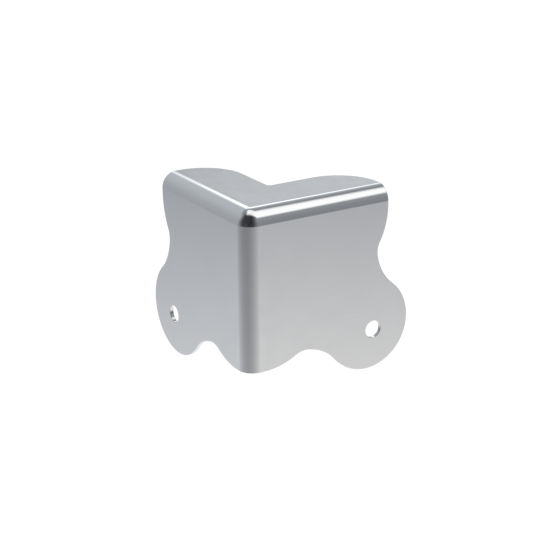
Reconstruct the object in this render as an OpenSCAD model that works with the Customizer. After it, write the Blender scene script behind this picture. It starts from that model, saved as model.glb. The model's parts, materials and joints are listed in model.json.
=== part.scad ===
// Three-sided corner protector for a box or case, pressed from one sheet of plated steel.
//
// The origin is the case's own corner: the point where the planes of the three inside faces meet.
// The top flange lies on Z = 0. The right wall lies on Y = 0 and the left wall on X = 0. The case
// fills the space of +X, +Y and -Z. The two walls are alike, mirrored across the plane X = Y.
//
// Outlines are drawn from the outer corner, where the planes of the outside faces meet. In a wall's
// outline the first coordinate runs along the top edge and the second one runs down.

/* [Sheet] */
// Thickness of the steel sheet
sheet_t = 1; // [0.8:0.1:1.5]
// Outside radius of the three bends and of the corner's ball
bend_r = 3.8; // [3:0.1:4.2]
// Length of each bent edge, from the outer corner to its square-cut end
edge_len = 40; // [39.5:0.1:40.5]

/* [Walls] */
// Radius of the convex side of each wing
wing_r = 17.9; // [17:0.1:19]
// Distance from the outer corner's plane to the centre of the wing's arc
wing_pos = 4.85; // [4.3:0.05:5.4]
// Radius of the fillet that leads from the wing into the waist
fillet_r = 5.26; // [4.5:0.02:5.7]
// Radius of the waist beside the lobe
waist_r = 12.91; // [12.3:0.01:13.5]
// Distance from the outer corner's plane to the centre of the waist's arc
waist_pos = 15.08; // [14.6:0.02:15.6]
// Radius of the round lobe
lobe_r = 11.75; // [11.4:0.05:12]
// Distance from both outer planes to the lobe's centre
lobe_pos = 33.98; // [33.6:0.02:34.3]

/* [Screw holes] */
// Diameter of the screw hole in each wall
hole_d = 4.4; // [3:0.1:8]
// Distance from both outer planes to the hole's centre
hole_pos = 35.8; // [31:0.05:37.5]

/* [Top flange] */
// Width of each arm of the flange, from the outer plane
arm_w = 16.2; // [14.5:0.1:18]
// Radius of the arms' round outer corners
arm_r = 11.2; // [8:0.1:11.8]
// Radius inside the notch between the arms
notch_r = 1; // [0.5:0.1:4]

/* [Hidden] */
$fn = 96;

// Radius inside the bends
inner_r = bend_r - sheet_t;

// Point at distance from_a from a and from_b from b, on the right-hand side going from a to b
function tangent_centre(a, b, from_a, from_b) =
    let (
        gap = norm(b - a),
        along = (from_a * from_a - from_b * from_b + gap * gap) / (2 * gap),
        aside = sqrt(from_a * from_a - along * along),
        ahead = (b - a) / gap
    )
    a + ahead * along + [-ahead.y, ahead.x] * aside;

// Centres of the arcs of one side of a wall. Each arc is tangent to the next one.
lobe_c = [lobe_pos, lobe_pos];
waist_reach = sqrt(pow(lobe_r + waist_r, 2) - pow(lobe_pos - waist_pos, 2));
waist_c = [lobe_pos + waist_reach, waist_pos];
wing_c = [edge_len - wing_r, wing_pos];
fillet_c = tangent_centre(wing_c, waist_c, wing_r + fillet_r, waist_r - fillet_r);

// A point seen across the outline's diagonal
function swapped(point) = [point.y, point.x];

// Children as they are, and again mirrored across the plane X = Y
module both_sides() {
    children();
    mirror([1, -1, 0]) children();
}

// Disc without the part that would reach past the planes where the bends begin
module trimmed_disc(centre, radius) {
    intersection() {
        translate(centre) circle(r = radius);
        translate([bend_r, bend_r]) square(edge_len);
    }
}

// Pie slice of a disc, from the direction of the point start to that of the point end
module pie(centre, radius, start, end) {
    start_arm = (start - centre) / norm(start - centre);
    end_arm = (end - centre) / norm(end - centre);
    middle = (start_arm + end_arm) / norm(start_arm + end_arm);
    reach = radius * 1.3;
    intersection() {
        translate(centre) circle(r = radius);
        polygon([
            centre,
            centre + reach * start_arm,
            centre + reach * middle,
            centre + reach * end_arm
        ]);
    }
}

// Flat part of a wall: two wings along the bends, two waists and the lobe with its screw hole
module wall_outline() {
    difference() {
        union() {
            polygon([
                [bend_r, bend_r],
                [edge_len, bend_r],
                [edge_len, wing_pos],
                wing_c,
                fillet_c,
                waist_c,
                lobe_c,
                swapped(waist_c),
                swapped(fillet_c),
                swapped(wing_c),
                [wing_pos, edge_len],
                [bend_r, edge_len]
            ]);
            both_sides() trimmed_disc(wing_c, wing_r);
            translate(lobe_c) circle(r = lobe_r);
        }
        both_sides() {
            translate(fillet_c) circle(r = fillet_r);
            pie(waist_c, waist_r, fillet_c, lobe_c);
        }
        translate([hole_pos, hole_pos]) circle(d = hole_d);
    }
}

// Flat part of the top flange: an L with two round outer corners and a filleted notch
module flange_outline() {
    arm_c = [edge_len - arm_r, arm_w - arm_r];
    difference() {
        union() {
            both_sides() {
                translate([bend_r, bend_r]) square([arm_c.x - bend_r, arm_w - bend_r]);
                translate([bend_r, bend_r]) square([edge_len - bend_r, arm_c.y - bend_r]);
                trimmed_disc(arm_c, arm_r);
            }
            translate([arm_w, arm_w]) square(notch_r);
        }
        translate([arm_w + notch_r, arm_w + notch_r]) circle(r = notch_r);
    }
}

// Quarter of a ring of sheet, in the corner of -X and +Y
module bend_section() {
    intersection() {
        difference() {
            circle(r = bend_r);
            circle(r = inner_r);
        }
        translate([-bend_r, 0]) square(bend_r);
    }
}

// The right wall, on the plane Y = 0
module right_wall() {
    translate([-sheet_t, -sheet_t, sheet_t]) rotate([-90, 0, 0])
        linear_extrude(height = sheet_t) wall_outline();
}

// The bend between the right wall and the top flange
module top_bend() {
    translate([inner_r, inner_r, -inner_r]) rotate([90, 0, 90])
        linear_extrude(height = edge_len - bend_r) bend_section();
}

// The bend between the two walls
module upright_bend() {
    translate([inner_r, inner_r, sheet_t - edge_len]) rotate([0, 0, 90])
        linear_extrude(height = edge_len - bend_r) bend_section();
}

// The ball where the three bends meet
module ball_corner() {
    translate([inner_r, inner_r, -inner_r]) rotate([0, 0, 180])
        rotate_extrude(angle = 90) mirror([1, 0]) bend_section();
}

// The whole pressing
module corner_shell() {
    color("silver") union() {
        translate([-sheet_t, -sheet_t, 0]) linear_extrude(height = sheet_t) flange_outline();
        both_sides() {
            right_wall();
            top_bend();
        }
        upright_bend();
        ball_corner();
    }
}

corner_shell();
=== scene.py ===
"""Looks for a three-sided corner protector, pressed from one sheet of plated steel.

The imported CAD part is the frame. One finished mesh stands for its only node, and follows the same surfaces:
flat walls and flange, quarter-round bends and a ball. It adds what a press and a punch leave behind, which is
the broken edges along the outline and round the screw holes.

The outline is worked out from the outer corner, where the planes of the outside faces meet, with X along the
right wall, Y along the left wall and Z up. The frame's origin is one sheet's thickness inside that corner.
"""

import json
import math

import bmesh
import bpy
from mathutils import Matrix, Vector
from mathutils.geometry import delaunay_2d_cdt


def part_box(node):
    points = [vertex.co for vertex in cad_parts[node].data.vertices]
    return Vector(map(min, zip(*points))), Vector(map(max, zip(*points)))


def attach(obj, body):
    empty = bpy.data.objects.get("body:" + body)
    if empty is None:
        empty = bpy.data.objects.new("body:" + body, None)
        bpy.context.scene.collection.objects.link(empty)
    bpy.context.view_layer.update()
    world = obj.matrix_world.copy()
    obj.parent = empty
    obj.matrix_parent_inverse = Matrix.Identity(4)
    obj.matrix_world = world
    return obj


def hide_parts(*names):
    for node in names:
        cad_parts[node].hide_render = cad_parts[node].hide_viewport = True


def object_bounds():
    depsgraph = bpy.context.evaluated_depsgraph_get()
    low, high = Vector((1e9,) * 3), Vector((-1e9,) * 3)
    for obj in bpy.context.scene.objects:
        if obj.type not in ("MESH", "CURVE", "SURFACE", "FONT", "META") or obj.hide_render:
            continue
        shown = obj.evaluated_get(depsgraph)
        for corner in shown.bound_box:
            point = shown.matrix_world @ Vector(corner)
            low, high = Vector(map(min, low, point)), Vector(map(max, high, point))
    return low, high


NODE = "corner_shell"
MM = 0.001

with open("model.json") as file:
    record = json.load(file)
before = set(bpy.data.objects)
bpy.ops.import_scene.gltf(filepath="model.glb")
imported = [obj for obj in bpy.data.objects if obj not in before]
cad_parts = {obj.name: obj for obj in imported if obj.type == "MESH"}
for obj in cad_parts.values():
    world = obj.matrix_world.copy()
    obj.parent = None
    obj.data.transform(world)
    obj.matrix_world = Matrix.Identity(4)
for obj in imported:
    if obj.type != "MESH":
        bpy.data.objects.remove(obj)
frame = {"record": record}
cad_low, cad_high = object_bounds()
mounts = {mount["name"]: mount for mount in frame["record"]["mounts"]}
hole_mount = mounts["right_screw_hole"]
node_low, node_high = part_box(NODE)

# The sheet, from the frame
SHEET_T = hole_mount["dims"]["length_mm"] * MM
HOLE_R = hole_mount["dims"]["r_mm"] * MM
HOLE_CENTRE = Vector((1, 1)) * (hole_mount["pos_m"][0] + SHEET_T)
REACH = node_high.x - node_low.x

# The pressing
BEND_R = 3.8 * MM
EDGE_LEN = 40 * MM
WING_R = 17.9 * MM
WING_POS = 4.85 * MM
FILLET_R = 5.26 * MM
WAIST_R = 12.91 * MM
WAIST_POS = 15.08 * MM
LOBE_R = 11.75 * MM
ARM_W = 16.2 * MM
ARM_R = 11.2 * MM
NOTCH_R = 1 * MM

# The broken edges: the outside is rolled in by the cut, and the inside is nearly sharp
OUTER_BREAK = 0.14 * MM
INNER_BREAK = 0.08 * MM
HOLE_ROLL = 0.06 * MM

# How finely the mesh is divided
ARC_STEP = math.radians(3.5)
STRAIGHT_STEP = 1.3 * MM
BEND_STEPS = 20
HOLE_STEPS = 72
BREAK_STEPS = 5
GRID_STEP = 1.6 * MM
GRID_CLEARANCE = 0.6 * GRID_STEP

# Tolerances, for vertices that become one, for triangulation in mm, and for joining triangles into quads
MERGE = 0.001 * MM
TRIANGULATION_MM = 1e-5
FLAT_ANGLE = 0.01
QUAD_ANGLE = math.radians(50)

# The metal. The grain changes this much more slowly along itself than across.
GRAIN_STRETCH = 0.03
PLATING_DARK = (0.582, 0.605, 0.634, 1)
PLATING_LIGHT = (0.616, 0.637, 0.664, 1)
INSIDE_COLOUR = (0.52, 0.53, 0.54, 1)
SHEARED_COLOUR = (0.42, 0.42, 0.42, 1)

# The camera
CAMERA_AZIMUTH = math.radians(-31.12)
CAMERA_ELEVATION = math.radians(19.48)
CAMERA_ROLL = math.radians(-0.71)
CAMERA_DISTANCE = 418.7 * MM
CAMERA_AIM = Vector((15.7, 15.7, -20.7)) * MM
CAMERA_LENS = 114.4

# The studio. The ceiling panels' places are given in ceiling heights from the object.
CEILING = 2.0
PANEL_TURN = math.radians(46.5)
PANEL_COLOUR = (1.04, 1, 0.947, 1)
WHITE = (1, 1, 1, 1)
FLOOR_GLOW = 0.96
FLOOR_REACH = 3.0

# Directions in the studio, in degrees. Sides are azimuths from +X towards +Y.
DARK_SIDE = 217
LEFT_SIDE = 125
CORNER_SIDE = 150
TABLE_SHADE_SIDE = 210
LAMP_SPILL_SIDE = 66
LAMP_SPILL_ELEVATION = 40


# ---------------------------------------------------------------- outline

def arc(centre, radius, start, end, outward=1):
    """Samples along an arc, as (point, direction away from the metal). Outward is -1 round a hollow."""
    steps = max(2, math.ceil(abs(end - start) / ARC_STEP))
    samples = []
    for i in range(steps + 1):
        angle = start + (end - start) * i / steps
        ray = Vector((math.cos(angle), math.sin(angle)))
        samples.append((centre + radius * ray, outward * ray))
    return samples


def straight(start, end, outward):
    """Samples along a straight edge, as (point, direction away from the metal)."""
    steps = max(1, math.ceil((end - start).length / STRAIGHT_STEP))
    return [(start.lerp(end, i / steps), Vector(outward)) for i in range(steps + 1)]


def heading(centre, point):
    """Angle of the direction from centre to point."""
    return math.atan2(point.y - centre.y, point.x - centre.x)


def joined(*runs):
    """Runs of samples end to end, without the samples that repeat where two runs meet."""
    samples = list(runs[0])
    for run in runs[1:]:
        samples += run[1:]
    return samples


def mirrored(samples):
    """Samples on the other side of the outline's diagonal, in the order that goes on from these."""
    return [(point.yx, away.yx) for point, away in reversed(samples)]


def wall_outline():
    """A wall's free edge, from the top bend's end, round the lobe, to the upright bend's end."""
    lobe_pos = REACH - LOBE_R
    lobe = Vector((lobe_pos, lobe_pos))
    waist_ahead = math.sqrt((LOBE_R + WAIST_R) ** 2 - (lobe_pos - WAIST_POS) ** 2)
    waist = Vector((lobe_pos + waist_ahead, WAIST_POS))
    wing = Vector((EDGE_LEN - WING_R, WING_POS))
    to_wing = WING_R + FILLET_R
    to_waist = WAIST_R - FILLET_R
    gap = (waist - wing).length
    along = (to_wing ** 2 - to_waist ** 2 + gap ** 2) / (2 * gap)
    ahead = (waist - wing) / gap
    aside = Vector((-ahead.y, ahead.x)) * math.sqrt(to_wing ** 2 - along ** 2)
    fillet = wing + ahead * along + aside
    turn = 2 * math.pi
    half = joined(
        straight(Vector((EDGE_LEN, BEND_R)), Vector((EDGE_LEN, WING_POS)), (1, 0)),
        arc(wing, WING_R, 0, heading(wing, fillet)),
        arc(fillet, FILLET_R, heading(fillet, wing) + turn, heading(waist, fillet), -1),
        arc(waist, WAIST_R, heading(waist, fillet), heading(waist, lobe), -1),
        arc(lobe, LOBE_R, heading(lobe, waist), math.pi / 4),
    )
    return joined(half, mirrored(half))


def flange_outline():
    """The flange's free edge, from the middle of the notch to the end of the right wall's top bend."""
    notch = Vector((ARM_W + NOTCH_R, ARM_W + NOTCH_R))
    arm = Vector((EDGE_LEN - ARM_R, ARM_W - ARM_R))
    return joined(
        arc(notch, NOTCH_R, math.radians(225), math.radians(270), -1),
        straight(Vector((notch.x, ARM_W)), Vector((arm.x, ARM_W)), (0, 1)),
        arc(arm, ARM_R, math.radians(90), 0),
        straight(Vector((EDGE_LEN, arm.y)), Vector((EDGE_LEN, BEND_R)), (1, 0)),
    )


def hole_outline():
    """Samples round a wall's screw hole, as (point, direction away from the metal)."""
    samples = []
    for i in range(HOLE_STEPS):
        angle = 2 * math.pi * i / HOLE_STEPS
        ray = Vector((math.cos(angle), math.sin(angle)))
        samples.append((HOLE_CENTRE + HOLE_R * ray, -ray))
    return samples


# ---------------------------------------------------------------- places in space

def swap_sides(v):
    """A point or direction seen across the plane X = Y."""
    return Vector((v.y, v.x, v.z))


def on_flange(v):
    """An outline direction or point, laid in the flange's plane."""
    return Vector((v.x, v.y, 0))


def on_right_wall(v):
    """An outline direction or point, stood up in the right wall's plane."""
    return Vector((v.x, 0, -v.y))


def on_left_wall(v):
    """An outline direction or point, stood up in the left wall's plane."""
    return Vector((0, v.x, -v.y))


def quarter(start, end):
    """Unit normals round a bend, from one face's normal to the next one's."""
    angles = [math.pi / 2 * i / BEND_STEPS for i in range(BEND_STEPS + 1)]
    return [start * math.cos(a) + end * math.sin(a) for a in angles]


UP = Vector((0, 0, 1))
RIGHT_OUT = Vector((0, -1, 0))
LEFT_OUT = Vector((-1, 0, 0))
BALL_CENTRE = Vector((BEND_R, BEND_R, -BEND_R))
TO_ROW = Vector((-SHEET_T, -SHEET_T, SHEET_T))


def free_edge():
    """The whole free edge on the outside surface, as (point, away from the metal, surface normal)."""
    half = [(on_flange(p), on_flange(away), UP) for p, away in flange_outline()]
    along_x = Vector((EDGE_LEN - BEND_R, 0, 0))
    for normal in quarter(UP, RIGHT_OUT)[1:]:
        half.append((BALL_CENTRE + along_x + BEND_R * normal, Vector((1, 0, 0)), normal))
    half += [(on_right_wall(p), on_right_wall(away), RIGHT_OUT) for p, away in wall_outline()[1:]]
    down = Vector((0, 0, BEND_R - EDGE_LEN))
    for normal in quarter(RIGHT_OUT, LEFT_OUT)[1:BEND_STEPS // 2 + 1]:
        half.append((BALL_CENTRE + down + BEND_R * normal, -UP, normal))
    other = [tuple(swap_sides(v) for v in sample) for sample in reversed(half)]
    return half + other[1:-1]


# ---------------------------------------------------------------- mesh

class Skin:
    """A mesh in the making. Every vertex keeps its exact normal and what its metal has been through."""

    MARKS = ("sheared", "inside", "bent")

    def __init__(self):
        self.bm = bmesh.new()
        self.normal = self.bm.verts.layers.float_vector.new("exact_normal")
        self.marks = {name: self.bm.verts.layers.float.new(name) for name in self.MARKS}

    def vert(self, point, normal, **marks):
        """Adds a vertex, given its place from the outer corner."""
        vert = self.bm.verts.new(point + TO_ROW)
        vert[self.normal] = normal
        for name, value in marks.items():
            vert[self.marks[name]] = value
        return vert

    def grid(self, rows, closed=False):
        """Fills the spaces between rows of vertices. A closed row's last vertex meets its first."""
        for row, following in zip(rows, rows[1:]):
            count = len(row) if closed else len(row) - 1
            for i in range(count):
                j = (i + 1) % len(row)
                corners = []
                for vert in (row[i], row[j], following[j], following[i]):
                    if vert not in corners:
                        corners.append(vert)
                self.bm.faces.new(corners)

    def fill(self, outline, hole, place, normal, **marks):
        """Fills a flat outline, less the screw hole's outline, with an even grid. Hole may be empty."""
        edges = ring_edges(0, len(outline)) + ring_edges(len(outline), len(hole))
        points = outline + hole + inner_grid(outline, hole)
        in_mm = [p / MM for p in points]
        flat, _, triangles, *_ = delaunay_2d_cdt(in_mm, edges, [], 1, TRIANGULATION_MM)
        verts = [self.vert(place(p * MM), normal, **marks) for p in flat]
        made = []
        for triangle in triangles:
            middle = sum((flat[i] for i in triangle), Vector((0, 0))) * MM / 3
            if not in_hole(middle, hole):
                made.append(self.bm.faces.new([verts[i] for i in triangle]))
        bmesh.ops.join_triangles(
            self.bm, faces=made, angle_face_threshold=FLAT_ANGLE, angle_shape_threshold=QUAD_ANGLE
        )

    def finish(self, name):
        """Closes the skin, and returns it as an object with its exact normals."""
        bmesh.ops.remove_doubles(self.bm, verts=self.bm.verts, dist=MERGE)
        loose = [vert for vert in self.bm.verts if not vert.link_faces]
        bmesh.ops.delete(self.bm, geom=loose, context="VERTS")
        bmesh.ops.recalc_face_normals(self.bm, faces=self.bm.faces)
        for face in self.bm.faces:
            face.smooth = True
        mesh = bpy.data.meshes.new(name)
        self.bm.to_mesh(mesh)
        self.bm.free()
        exact = mesh.attributes["exact_normal"]
        normals = [item.vector.copy() for item in exact.data]
        mesh.attributes.remove(exact)
        mesh.normals_split_custom_set_from_vertices(normals)
        obj = bpy.data.objects.new(name, mesh)
        bpy.context.scene.collection.objects.link(obj)
        return obj


def ring_edges(first, count):
    """Pairs of indices that join count points in a ring, from the index first."""
    return [(first + i, first + (i + 1) % count) for i in range(count)]


def in_hole(point, hole, margin=0.0):
    """True if the point lies within the screw hole's outline, or within a margin of it. Hole may be empty."""
    return bool(hole) and (point - HOLE_CENTRE).length < (hole[0] - HOLE_CENTRE).length + margin


def inside_outline(point, outline):
    """True if a ray along +X from the point crosses the outline an odd number of times."""
    crossings = 0
    for a, b in zip(outline, outline[1:] + outline[:1]):
        if (a.y > point.y) != (b.y > point.y):
            crossings += point.x < a.x + (point.y - a.y) / (b.y - a.y) * (b.x - a.x)
    return crossings % 2 == 1


def inner_grid(outline, hole):
    """Points of a square grid inside a flat outline, clear of its edge and of its hole."""
    rim = outline + hole
    count = math.ceil(REACH / GRID_STEP)
    points = []
    for i in range(count):
        for j in range(count):
            point = Vector((BEND_R + i * GRID_STEP, BEND_R + j * GRID_STEP))
            if not inside_outline(point, outline) or in_hole(point, hole, GRID_CLEARANCE):
                continue
            if min((point - other).length for other in rim) > GRID_CLEARANCE:
                points.append(point)
    return points


def rim_profile(outer_break, inner_break):
    """The cut edge's section, as (distance away from the metal, distance out of the sheet, angle).

    The angle is the normal's, from the sheet's own normal towards the outside of the outline.
    """
    profile = []
    for i in range(BREAK_STEPS + 1):
        angle = math.pi / 2 * i / BREAK_STEPS
        away = outer_break * (math.sin(angle) - 1)
        out = outer_break * (math.cos(angle) - 1)
        profile.append((away, out, angle))
    for i in range(BREAK_STEPS + 1):
        angle = math.pi / 2 * (1 + i / BREAK_STEPS)
        away = inner_break * (math.sin(angle) - 1)
        out = inner_break * (math.cos(angle) + 1) - SHEET_T
        profile.append((away, out, angle))
    return profile


def sweep_rim(skin, samples, profile):
    """The cut edge of the sheet, swept along a closed run of (point, away, surface normal)."""
    rows = []
    last = len(profile) - 1
    for step, (away_by, out_by, angle) in enumerate(profile):
        row = []
        for point, away, normal in samples:
            place = point + away * away_by + normal * out_by
            facing = away * math.sin(angle) + normal * math.cos(angle)
            sheared = 0 if step in (0, last) else 1
            row.append(skin.vert(place, facing, sheared=sheared, inside=float(step == last)))
        rows.append(row)
    skin.grid(rows, closed=True)


def stations(edge_break):
    """Distances along a bend, from the ball to where the end's broken edge begins."""
    end = EDGE_LEN - edge_break
    steps = math.ceil((end - BEND_R) / GRID_STEP)
    return [BEND_R + (end - BEND_R) * i / steps for i in range(steps + 1)]


def add_bends(skin, radius, edge_break, side, **marks):
    """The three quarter-round bends, at one of the sheet's two surfaces. Side is 1 outside and -1 inside."""
    runs = (
        (Vector((1, 0, 0)), quarter(UP, RIGHT_OUT)),
        (Vector((0, 1, 0)), quarter(UP, LEFT_OUT)),
        (Vector((0, 0, -1)), quarter(RIGHT_OUT, LEFT_OUT)),
    )
    for along, normals in runs:
        rows = []
        for distance in stations(edge_break):
            middle = BALL_CENTRE + along * (distance - BEND_R)
            rows.append([skin.vert(middle + radius * n, side * n, bent=1, **marks) for n in normals])
        skin.grid(rows)


def add_ball(skin, radius, side, **marks):
    """The piece of a ball where the bends meet, at one of the sheet's two surfaces."""
    pole = skin.vert(BALL_CENTRE + radius * UP, side * UP, bent=1, **marks)
    rows = [[pole] * (BEND_STEPS + 1)]
    for tilt in range(1, BEND_STEPS + 1):
        angle = math.pi / 2 * tilt / BEND_STEPS
        row = []
        for flat in quarter(RIGHT_OUT, LEFT_OUT):
            n = UP * math.cos(angle) + flat * math.sin(angle)
            row.append(skin.vert(BALL_CENTRE + radius * n, side * n, bent=1, **marks))
        rows.append(row)
    skin.grid(rows)


def add_flats(skin, edge_break, hole_break, sink, side, **marks):
    """The flat parts of the walls and the flange, at one of the sheet's two surfaces.

    Sink is how far that surface lies inside the outer planes. Side is 1 outside and -1 inside.
    """
    along = [Vector((s, BEND_R)) for s in stations(edge_break)]
    back = [p.yx for p in reversed(along)]
    inset = [p - away * edge_break for p, away in wall_outline()]
    wall = inset + back[1:] + along[1:-1]
    hole = [p - away * hole_break for p, away in hole_outline()]
    for place, out in ((on_right_wall, RIGHT_OUT), (on_left_wall, LEFT_OUT)):
        skin.fill(wall, hole, lambda p: place(p) - out * sink, side * out, **marks)
    half = [p - away * edge_break for p, away in flange_outline()]
    arm = half + along[-2::-1]
    flange = arm + [p.yx for p in reversed(arm)][1:-1]
    skin.fill(flange, [], lambda p: on_flange(p) - UP * sink, side * UP, **marks)


def build_pressing():
    """The whole pressing as one closed mesh."""
    skin = Skin()
    add_bends(skin, BEND_R, OUTER_BREAK, 1)
    add_ball(skin, BEND_R, 1)
    add_bends(skin, BEND_R - SHEET_T, INNER_BREAK, -1, inside=1)
    add_ball(skin, BEND_R - SHEET_T, -1, inside=1)
    add_flats(skin, OUTER_BREAK, HOLE_ROLL, 0, 1)
    add_flats(skin, INNER_BREAK, INNER_BREAK, SHEET_T, -1, inside=1)
    sweep_rim(skin, free_edge(), rim_profile(OUTER_BREAK, INNER_BREAK))
    for place, out in ((on_right_wall, RIGHT_OUT), (on_left_wall, LEFT_OUT)):
        samples = [(place(p), place(away), out) for p, away in hole_outline()]
        sweep_rim(skin, samples, rim_profile(HOLE_ROLL, INNER_BREAK))
    return skin.finish("pressed_corner")


# ---------------------------------------------------------------- shader nodes

class Graph:
    """Adds nodes to a shader tree. An input is given as a value or as another node's output."""

    def __init__(self, tree):
        self.tree = tree
        tree.nodes.clear()

    def feed(self, socket, value):
        """Links an output to the socket, or sets its value."""
        if isinstance(value, bpy.types.NodeSocket):
            self.tree.links.new(value, socket)
        else:
            socket.default_value = value

    def add(self, kind, inputs=None, **settings):
        """Adds a node, with its inputs by name or number and its settings."""
        node = self.tree.nodes.new("ShaderNode" + kind)
        for name, value in settings.items():
            setattr(node, name, value)
        for key, value in (inputs or {}).items():
            self.feed(node.inputs[key], value)
        return node

    def math(self, operation, *values):
        """Result of a Math node."""
        return self.add("Math", dict(enumerate(values)), operation=operation).outputs[0]

    def vector(self, operation, *values):
        """Vector result of a Vector Math node."""
        return self.add("VectorMath", dict(enumerate(values)), operation=operation).outputs[0]

    def dot(self, a, b):
        """Dot product of two vectors."""
        return self.add("VectorMath", {0: a, 1: b}, operation="DOT_PRODUCT").outputs["Value"]

    def blend(self, value, start, end, low=0.0, high=1.0, smooth=False):
        """Low to high as value goes from start to end, and level outside them."""
        inputs = {"Value": value, "From Min": start, "From Max": end, "To Min": low, "To Max": high}
        kind = "SMOOTHSTEP" if smooth else "LINEAR"
        return self.add("MapRange", inputs, interpolation_type=kind).outputs["Result"]

    def mix(self, factor, a, b):
        """A number between a and b."""
        return self.add("Mix", {0: factor, 2: a, 3: b}, data_type="FLOAT").outputs[0]

    def colour_mix(self, factor, a, b):
        """A colour between a and b."""
        return self.add("Mix", {0: factor, 6: a, 7: b}, data_type="RGBA").outputs[2]

    def noise(self, vector, scale, detail=2.0, roughness=0.5):
        """Noise from about 0 to 1."""
        inputs = {"Vector": vector, "Scale": scale, "Detail": detail, "Roughness": roughness}
        return self.add("TexNoise", inputs).outputs["Fac"]

    def mark(self, name):
        """One of the marks that the mesh carries, from 0 to 1."""
        return self.add("Attribute", attribute_name=name).outputs["Fac"]


def grain_place(g, place):
    """Coordinates for the rolled grain: along it, then across it.

    The grain runs level round the walls, and along each arm of the flange.
    """
    parts = g.add("SeparateXYZ", {0: place}).outputs
    along = g.math("ADD", parts["X"], parts["Y"])
    from_edges = g.math("MAXIMUM", g.math("MINIMUM", parts["X"], parts["Y"]), BEND_R - SHEET_T)
    across = g.math("ADD", parts["Z"], from_edges)
    return g.add("CombineXYZ", {"X": g.math("MULTIPLY", along, GRAIN_STRETCH), "Y": across}).outputs[0]


def plated_steel():
    """Bright plating over cold-rolled sheet, with a faint grain, handling marks and duller cut edges."""
    material = bpy.data.materials.new("plated_steel")
    material.use_nodes = True
    g = Graph(material.node_tree)
    place = g.add("TexCoord").outputs["Object"]
    sheared = g.mark("sheared")
    inside = g.mark("inside")
    bent = g.mark("bent")

    rolled = grain_place(g, place)
    streaks = g.blend(g.noise(rolled, 2100, 4, 0.7), 0.3, 0.7)
    patches = g.blend(g.noise(place, 90, 3), 0.3, 0.7)
    smears = g.blend(g.noise(place, 260, 4, 0.6), 0.35, 0.7)
    fine_grain = g.noise(rolled, 9000, 2)
    pits = g.noise(place, 5200, 2)

    tone = g.mix(0.45, streaks, patches)
    clean = g.colour_mix(tone, PLATING_DARK, PLATING_LIGHT)
    dulled = g.colour_mix(g.math("MULTIPLY", inside, 0.5), clean, INSIDE_COLOUR)
    colour = g.colour_mix(g.math("MULTIPLY", sheared, 0.45), dulled, SHEARED_COLOUR)

    polish = g.mix(0.3, g.blend(smears, 0, 1, 0.13, 0.18), g.blend(streaks, 0, 1, 0.12, 0.19))
    worn = g.math("SUBTRACT", polish, g.math("MULTIPLY", bent, 0.04))
    inner = g.math("ADD", worn, g.math("MULTIPLY", inside, 0.12))
    rough = g.mix(sheared, inner, 0.2)

    height = g.mix(0.4, fine_grain, pits)
    bump = g.add("Bump", {"Strength": 0.05, "Distance": 0.02 * MM, "Height": height}).outputs["Normal"]

    shader = g.add(
        "BsdfPrincipled",
        {"Base Color": colour, "Metallic": 1.0, "Roughness": rough, "Normal": bump},
    )
    g.add("OutputMaterial", {"Surface": shader.outputs[0]})
    return material


# ---------------------------------------------------------------- studio

def direction(azimuth, elevation=0):
    """Unit vector at an azimuth in degrees, counted from +X towards +Y, and an elevation in degrees."""
    turn = math.radians(azimuth)
    rise = math.radians(elevation)
    return (math.cos(turn) * math.cos(rise), math.sin(turn) * math.cos(rise), math.sin(rise))


def bare_wall_light(g, level, height):
    """Brightness of the studio's walls and ceiling before any lamp: grey, and dark behind the camera."""
    dark_side = g.dot(level, direction(DARK_SIDE))
    far_wall = g.blend(dark_side, 0.0, -1.0, 0.57, 0.66)
    dark_ceiling = g.blend(height, 0.62, 0.93, 0.055, 0.16)
    dark_foot = g.blend(height, 0.35, 0.0, 0.0, 0.03)
    dark_wall = g.math("ADD", dark_ceiling, dark_foot)
    near_wall = g.blend(dark_side, 0.1, 0.88, 0.0, 1.0, smooth=True)
    return g.mix(near_wall, far_wall, dark_wall)


def recess_dim(g, level, height):
    """What is left of the light in two low recesses, 75 to 86 degrees to each side of CORNER_SIDE."""
    past_corner = g.dot(level, direction(CORNER_SIDE))
    width = g.math("MULTIPLY", g.blend(past_corner, -0.07, 0.07), g.blend(past_corner, 0.5, 0.25))
    recess = g.math("MULTIPLY", width, g.blend(height, 0.31, 0.27))
    return g.blend(recess, 0.0, 1.0, 1.0, 0.66)


def height_dim(g, height):
    """How the walls' light changes with height: brightest just under the ceiling, and dimmest overhead."""
    lamp_glow = g.blend(height, 0.1, 0.5, 1.0, 1.18)
    ceiling_dim = g.blend(height, 0.55, 0.8, 1.0, 0.5)
    overhead_dim = g.blend(height, 0.91, 0.96, 1.0, 0.4)
    foot_dim = g.blend(height, -0.2, 0.0, 0.93, 1.0)
    above_dim = g.math("MULTIPLY", ceiling_dim, overhead_dim)
    return g.math("MULTIPLY", g.math("MULTIPLY", lamp_glow, above_dim), foot_dim)


def room_light(g, towards, level, height, left_side):
    """Brightness of the studio's walls and ceiling."""
    wall = bare_wall_light(g, level, height)
    right_dim = g.blend(left_side, -0.6, 0.0, 0.64, 1.0)
    side_dim = g.math("MULTIPLY", right_dim, recess_dim(g, level, height))
    dims = g.math("MULTIPLY", side_dim, height_dim(g, height))
    lamp_middle = direction(LAMP_SPILL_SIDE, LAMP_SPILL_ELEVATION)
    lamp_spill = g.blend(g.dot(towards, lamp_middle), 0.976, 0.996, 0.0, 0.36)
    return g.math("ADD", g.math("MULTIPLY", wall, dims), lamp_spill)


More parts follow.
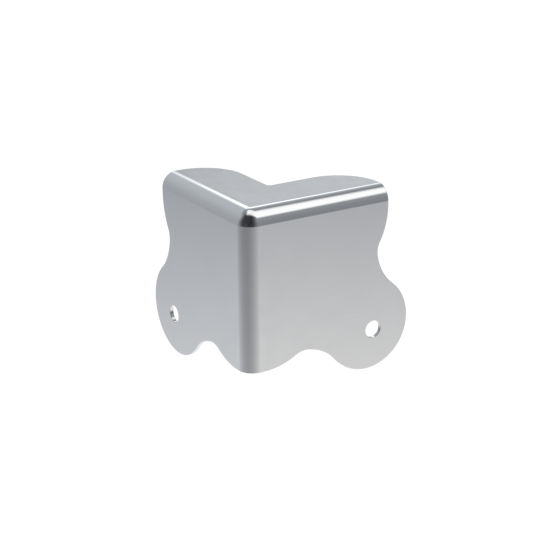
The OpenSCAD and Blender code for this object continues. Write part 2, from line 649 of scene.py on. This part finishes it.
def table_light(g, level, height, left_side):
    """Brightness of the table: dim at its edges, brighter by the object, and shaded towards the camera."""
    base = g.blend(height, -0.285, -0.41, 0.575, 1.04)
    shade = g.blend(g.dot(level, direction(TABLE_SHADE_SIDE)), 0.0, 1.0, 1.0, 0.51)
    side = g.blend(left_side, -1.0, 1.0, 1.06, 0.94)
    near = g.blend(height, -0.41, -0.85, 1.0, 1.35)
    dims = g.math("MULTIPLY", g.math("MULTIPLY", side, near), shade)
    return g.math("MULTIPLY", base, dims)


def room_tint(g, height, left_side, is_wall):
    """Tint of the studio: cool walls, and a table that is warmer close to the object."""
    to_left = g.blend(left_side, -1, 1)
    far_tint = g.colour_mix(to_left, (1.02, 1.0, 1.005, 1), (0.985, 1.0, 1.02, 1))
    near_tint = g.colour_mix(to_left, (1.035, 1.0, 0.957, 1), (1.01, 1.0, 1.0, 1))
    table_tint = g.colour_mix(g.blend(height, -0.3, -0.38), far_tint, near_tint)
    return g.colour_mix(is_wall, table_tint, (0.98, 1.0, 1.015, 1))


def studio_world():
    """What the metal mirrors: a pale table, grey walls, a dim ceiling and a dark side behind the camera.

    The camera itself sees a white backdrop.
    """
    world = bpy.data.worlds.new("studio")
    bpy.context.scene.world = world
    world.use_nodes = True
    g = Graph(world.node_tree)
    towards = g.add("TexCoord").outputs["Generated"]
    height = g.add("SeparateXYZ", {0: towards}).outputs["Z"]
    level = g.vector("NORMALIZE", g.vector("MULTIPLY", towards, (1, 1, 0)))
    left_side = g.dot(level, direction(LEFT_SIDE))

    is_wall = g.blend(height, -0.265, -0.24)
    table = table_light(g, level, height, left_side)
    room = room_light(g, towards, level, height, left_side)
    brightness = g.mix(is_wall, table, room)
    tint = room_tint(g, height, left_side, is_wall)
    colour = g.add("VectorMath", {0: tint, "Scale": brightness}, operation="SCALE").outputs[0]

    mirrored_room = g.add("Background", {"Color": colour, "Strength": 1.0}).outputs[0]
    backdrop = g.add("Background", {"Color": WHITE, "Strength": 1.0}).outputs[0]
    seen = g.add("LightPath").outputs["Is Camera Ray"]
    shown = g.add("MixShader", {0: seen, 1: mirrored_room, 2: backdrop}).outputs[0]
    g.add("OutputWorld", {"Surface": shown})


def soft_edges(g, place, stops):
    """Light across a panel: up from its first stop to the second, and down from the third to the last.

    Place runs from 0 at the first stop to 1 at the last.
    """
    first, full, fading, last = stops
    rise = g.blend(place, 0.0, (full - first) / (last - first))
    fall = g.blend(place, 1.0, (fading - first) / (last - first))
    return g.math("MULTIPLY", rise, fall)


def ceiling_panel(name, along, across, radiance):
    """A rectangular softbox in the ceiling, given by its stops along and across the panels' direction."""
    axis_along = Vector((math.cos(PANEL_TURN), math.sin(PANEL_TURN), 0))
    axis_across = Vector((-math.sin(PANEL_TURN), math.cos(PANEL_TURN), 0))
    data = bpy.data.lights.new(name, "AREA")
    data.shape = "RECTANGLE"
    data.size = (along[3] - along[0]) * CEILING
    data.size_y = (across[3] - across[0]) * CEILING
    data.energy = math.pi * data.size * data.size_y * radiance
    data.use_nodes = True
    g = Graph(data.node_tree)
    place = g.add("SeparateXYZ", {0: g.add("NewGeometry").outputs["Parametric"]}).outputs
    strength = g.math("MULTIPLY", soft_edges(g, place["X"], along), soft_edges(g, place["Y"], across))
    glow = g.add("Emission", {"Color": PANEL_COLOUR, "Strength": strength}).outputs[0]
    g.add("OutputLight", {"Surface": glow})
    panel = bpy.data.objects.new(name, data)
    middle_along = (along[0] + along[3]) / 2
    middle_across = (across[0] + across[3]) / 2
    offset = axis_along * middle_along + axis_across * middle_across + UP
    panel.location = CAMERA_AIM + offset * CEILING
    panel.rotation_euler = (0, 0, PANEL_TURN)
    bpy.context.scene.collection.objects.link(panel)


def floor():
    """The pale table that the object's lobes touch. It can be seen through from below.

    The metal mirrors the world's table instead.
    """
    mesh = bpy.data.meshes.new("floor")
    corners = [(-1, -1), (1, -1), (1, 1), (-1, 1)]
    verts = [(x * FLOOR_REACH, y * FLOOR_REACH, cad_low[2]) for x, y in corners]
    mesh.from_pydata(verts, [], [(0, 1, 2, 3)])
    material = bpy.data.materials.new("pale_floor")
    material.use_nodes = True
    g = Graph(material.node_tree)
    mottle = g.noise(g.add("TexCoord").outputs["Object"], 12, 2)
    colour = g.colour_mix(mottle, (0.13, 0.13, 0.13, 1), (0.15, 0.15, 0.15, 1))
    matt = g.add("BsdfDiffuse", {"Color": colour}).outputs[0]
    glow = g.add("Emission", {"Color": WHITE, "Strength": FLOOR_GLOW}).outputs[0]
    top = g.add("AddShader", {0: matt, 1: glow}).outputs[0]
    clear = g.add("BsdfTransparent").outputs[0]
    underneath = g.add("NewGeometry").outputs["Backfacing"]
    surface = g.add("MixShader", {0: underneath, 1: top, 2: clear}).outputs[0]
    g.add("OutputMaterial", {"Surface": surface})
    mesh.materials.append(material)
    obj = bpy.data.objects.new("floor", mesh)
    obj.visible_glossy = False
    bpy.context.scene.collection.objects.link(obj)


def camera():
    """The camera, looking down on the ball corner from the front."""
    flat = math.cos(CAMERA_ELEVATION)
    back = Vector((
        math.sin(CAMERA_AZIMUTH) * flat,
        -math.cos(CAMERA_AZIMUTH) * flat,
        math.sin(CAMERA_ELEVATION),
    ))
    right = Vector((math.cos(CAMERA_AZIMUTH), math.sin(CAMERA_AZIMUTH), 0))
    up = back.cross(right)
    turned = Matrix((right, up, back)).transposed()
    data = bpy.data.cameras.new("camera")
    data.lens = CAMERA_LENS
    data.clip_start = 0.01
    obj = bpy.data.objects.new("camera", data)
    turned = turned @ Matrix.Rotation(CAMERA_ROLL, 3, "Z")
    obj.matrix_world = Matrix.Translation(CAMERA_AIM + back * CAMERA_DISTANCE) @ turned.to_4x4()
    bpy.context.scene.collection.objects.link(obj)
    bpy.context.scene.camera = obj


# ---------------------------------------------------------------- scene

pressing = build_pressing()
pressing.data.materials.append(plated_steel())
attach(pressing, "root")
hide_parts(NODE)

studio_world()
ceiling_panel("overhead_panel", (-0.42, -0.17, 0.36, 0.59), (-1.54, -1.08, 0.26, 0.43), 1.33)
ceiling_panel("rear_panel", (1.28, 1.52, 1.9, 2.66), (-0.08, 0.36, 0.66, 0.95), 1.48)
floor()
camera()
bpy.context.scene.view_settings.view_transform = "Standard"
